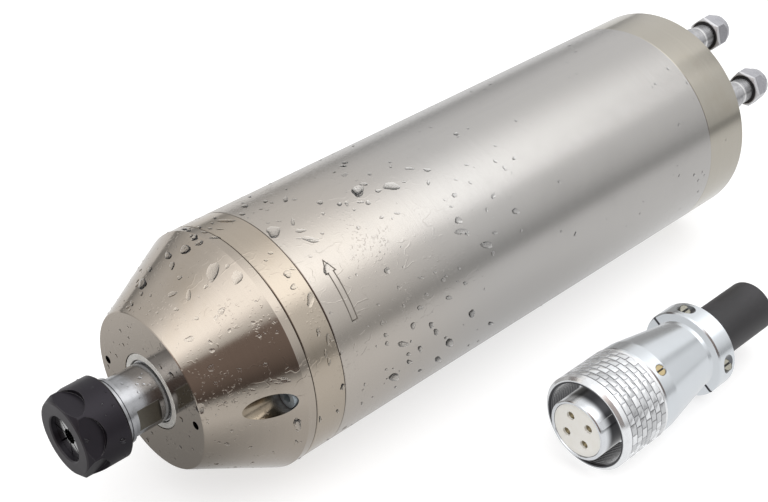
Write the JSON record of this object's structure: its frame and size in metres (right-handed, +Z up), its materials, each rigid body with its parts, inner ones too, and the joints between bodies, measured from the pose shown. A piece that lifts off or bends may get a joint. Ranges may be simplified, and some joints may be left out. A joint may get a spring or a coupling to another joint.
{
  "type": "motor spindle",
  "caption": "Water-cooled motor spindle with a cylindrical body, conical nose, collet chuck, hose fittings on the rear face and a knurled power plug beside it.",
  "frame": {"origin": "on the spindle's axis at the middle of the jacket's length", "axes": "-X along the spindle's axis towards the collet nose; +Z up, away from the ground that the spindle lies on; the plug lies on the -Y side"},
  "size_m": [0.3716, 0.1731, 0.1],
  "materials": {
    "warm_steel": "finely turned steel with a warm tint",
    "jacket_steel": "ground and polished steel tube",
    "rear_steel": "turned steel with a faint olive tint",
    "shaft_steel": "ground bearing steel",
    "screw_steel": "zinc-plated screw steel",
    "black_oxide": "blackened spring steel, satin",
    "bright_plate": "bright nickel plate",
    "aluminium": "machined aluminium",
    "core_steel": "laminated electrical steel",
    "copper_wire": "varnished copper winding",
    "brass": "turned brass",
    "seal_plastic": "light sealing plastic",
    "ivory_plastic": "ivory insulating plastic",
    "dark_plastic": "dark insulating plastic",
    "black_rubber": "black rubber, slightly dull",
    "ceramic_ball": "polished bearing balls",
    "red_wire": "insulated wire"
  },
  "bodies": {
    "housing": {"jacket": "jacket_steel", "front_flange": "warm_steel", "front_cover": "warm_steel", "cover_screws": "screw_steel", "flange_screws": "screw_steel", "dust_seal": "seal_plastic", "cooling_sleeve": "aluminium", "sleeve_seals": "black_rubber", "stator_core": "core_steel", "stator_windings": "copper_wire", "phase_leads": "red_wire", "front_outer_races": "shaft_steel", "front_outer_spacer": "screw_steel", "rear_bearing_housing": "aluminium", "rear_outer_races": "shaft_steel", "preload_spring": "screw_steel", "rear_cover": "rear_steel", "rear_cover_screws": "screw_steel", "receptacle_gasket": "black_rubber", "receptacle_shell": "bright_plate", "receptacle_insulator": "dark_plastic", "receptacle_pins": "brass", "receptacle_screws": "screw_steel", "fitting_washers": "copper_wire", "inlet_fitting": "bright_plate", "outlet_fitting": "bright_plate"},
    "rotor": {"shaft": "shaft_steel", "shaft_slinger": "shaft_steel", "rotor_core": "core_steel", "rotor_cage": "aluminium", "front_inner_races": "shaft_steel", "front_inner_spacer": "screw_steel", "front_lock_nut": "screw_steel", "rear_inner_races": "shaft_steel", "rear_lock_nut": "screw_steel"},
    "front_ball_set": {"front_balls": "ceramic_ball", "front_cages": "brass"},
    "rear_ball_set": {"rear_balls": "ceramic_ball", "rear_cages": "brass"},
    "spring_collet": {"collet": "shaft_steel"},
    "clamping_nut": {"collet_nut": "black_oxide"},
    "inlet_clamp": {"inlet_ferrule": "brass"},
    "inlet_hexagon": {"inlet_nut": "bright_plate"},
    "outlet_clamp": {"outlet_ferrule": "brass"},
    "outlet_hexagon": {"outlet_nut": "bright_plate"},
    "plug": {"plug_shell": "bright_plate", "plug_body": "bright_plate", "plug_insulator": "ivory_plastic", "plug_sockets": "brass", "backshell": "bright_plate", "backshell_screws": "brass", "cable_clamp": "bright_plate", "clamp_screws": "screw_steel", "rubber_sleeve": "black_rubber"},
    "plug_ring": {"coupling_ring": "bright_plate"}
  },
  "joints": [
    {"name": "rotor_spin", "type": "hinge", "parent": "housing", "child": "rotor", "pos_m": [0, 0, 0], "axis": [1, 0, 0], "continuous": true},
    {"name": "front_balls_spin", "type": "hinge", "parent": "housing", "child": "front_ball_set", "pos_m": [-0.134, 0, 0], "axis": [1, 0, 0], "continuous": true},
    {"name": "rear_balls_spin", "type": "hinge", "parent": "housing", "child": "rear_ball_set", "pos_m": [0.108, 0, 0], "axis": [1, 0, 0], "continuous": true},
    {"name": "collet_slide", "type": "slide", "parent": "rotor", "child": "spring_collet", "axis": [-1, 0, 0], "range_m": [0, 0.003]},
    {"name": "nut_turn", "type": "hinge", "parent": "spring_collet", "child": "clamping_nut", "pos_m": [-0.193, 0, 0], "axis": [-1, 0, 0], "range_deg": [0, 720]},
    {"name": "inlet_clamp_slide", "type": "slide", "parent": "housing", "child": "inlet_clamp", "axis": [1, 0, 0], "range_m": [0, 0.002]},
    {"name": "inlet_nut_turn", "type": "hinge", "parent": "inlet_clamp", "child": "inlet_hexagon", "pos_m": [0.1632, -0.03374, 0.01855], "axis": [1, 0, 0], "range_deg": [0, 720]},
    {"name": "outlet_clamp_slide", "type": "slide", "parent": "housing", "child": "outlet_clamp", "axis": [1, 0, 0], "range_m": [0, 0.002]},
    {"name": "outlet_nut_turn", "type": "hinge", "parent": "outlet_clamp", "child": "outlet_hexagon", "pos_m": [0.1632, -0.00853, 0.03754], "axis": [1, 0, 0], "range_deg": [0, 720]},
    {"name": "plug_lift", "type": "slide", "parent": "housing", "child": "plug", "axis": [0, 0, 1], "range_m": [0, 0.12]},
    {"name": "ring_turn", "type": "hinge", "parent": "plug", "child": "plug_ring", "pos_m": [-0.0224, -0.1026, -0.0295], "axis": [1, 0, 0], "continuous": true}
  ],
  "couplings": [
    {"joint": "front_balls_spin", "follows": "rotor_spin", "ratio": 0.42},
    {"joint": "rear_balls_spin", "follows": "rotor_spin", "ratio": 0.42},
    {"joint": "collet_slide", "follows": "nut_turn", "m_per_rad": 0.0002387},
    {"joint": "inlet_clamp_slide", "follows": "inlet_nut_turn", "m_per_rad": 0.000159},
    {"joint": "outlet_clamp_slide", "follows": "outlet_nut_turn", "m_per_rad": 0.000159}
  ]
}
